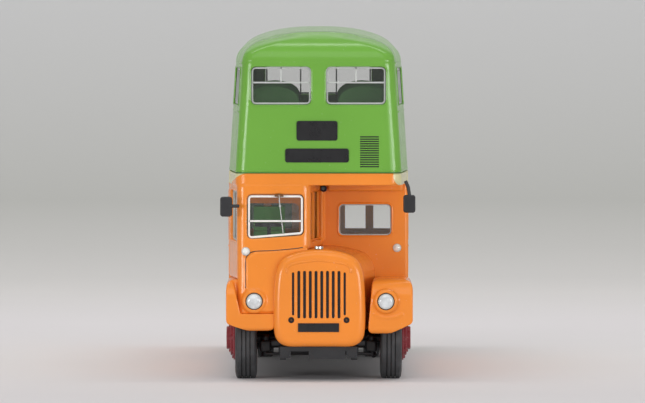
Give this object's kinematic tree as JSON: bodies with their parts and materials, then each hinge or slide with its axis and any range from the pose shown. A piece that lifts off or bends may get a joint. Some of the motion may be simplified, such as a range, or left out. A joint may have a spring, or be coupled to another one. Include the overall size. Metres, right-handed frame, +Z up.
{
  "type": "double decker bus scale model",
  "caption": "Half-cab double decker bus scale model with an open rear platform, stepped wheels that roll, windowed decks, seats inside and a slotted radiator cowl.",
  "frame": {"origin": "on the floor, under the middle of the model's bounding box", "axes": "+Z up, the front faces -Y, the driver's side is -X"},
  "size_m": [0.0324, 0.1084, 0.0576],
  "materials": {
    "green_paint": "gloss",
    "orange_paint": "gloss",
    "green_plastic": "satin",
    "black_plastic": "satin",
    "black_print": "gloss",
    "maroon_plastic": "satin",
    "clear_plastic": "clear",
    "lamp_lens": "gloss",
    "red_lens": "gloss",
    "bright_metal": "satin",
    "tyre": "matte"
  },
  "bodies": {
    "bus": {"upper_deck_shell": "green_paint", "upper_floor": "green_plastic", "upper_seats": "green_plastic", "upper_glazing": "clear_plastic", "lower_deck_shell": "orange_paint", "lower_floor": "green_plastic", "lower_seats": "green_plastic", "saloon_partition": "green_plastic", "lower_glazing": "clear_plastic", "platform": "green_plastic", "staircase": "green_plastic", "platform_pole": "black_plastic", "front_canopy": "orange_paint", "radiator_cowl": "orange_paint", "radiator_core": "black_plastic", "filler_cap": "bright_metal", "bonnet": "orange_paint", "nearside_wing": "orange_paint", "offside_wing": "orange_paint", "cab_shell": "orange_paint", "cab_glazing": "clear_plastic", "driver_seat": "green_plastic", "steering_wheel": "black_plastic", "chassis": "black_plastic", "front_crossbar": "black_plastic", "headlamp_housings": "orange_paint", "headlamps": "lamp_lens", "sidelights": "lamp_lens", "fog_lamps": "lamp_lens", "rear_lamps": "red_lens", "blinds": "black_print", "plates": "black_print", "offside_mirror": "black_plastic", "nearside_mirror": "black_plastic", "gearbox": "black_plastic", "fuel_tank": "black_plastic", "propeller_shaft": "black_plastic", "rear_axle_casing": "black_plastic", "exhaust": "black_plastic", "front_springs": "black_plastic", "rear_springs": "black_plastic"},
    "front_wheelset": {"front_axle": "bright_metal", "front_hubs": "maroon_plastic", "front_tyres": "tyre"},
    "rear_wheelset": {"rear_axle": "bright_metal", "rear_hubs": "maroon_plastic", "rear_tyres": "tyre"}
  },
  "joints": [
    {"name": "front_wheels_spin", "type": "hinge", "parent": "bus", "child": "front_wheelset", "pos_m": [0, -0.04365, 0.0067], "axis": [1, 0, 0], "continuous": true},
    {"name": "rear_wheels_spin", "type": "hinge", "parent": "bus", "child": "rear_wheelset", "pos_m": [0, 0.02185, 0.0067], "axis": [1, 0, 0], "continuous": true}
  ]
}
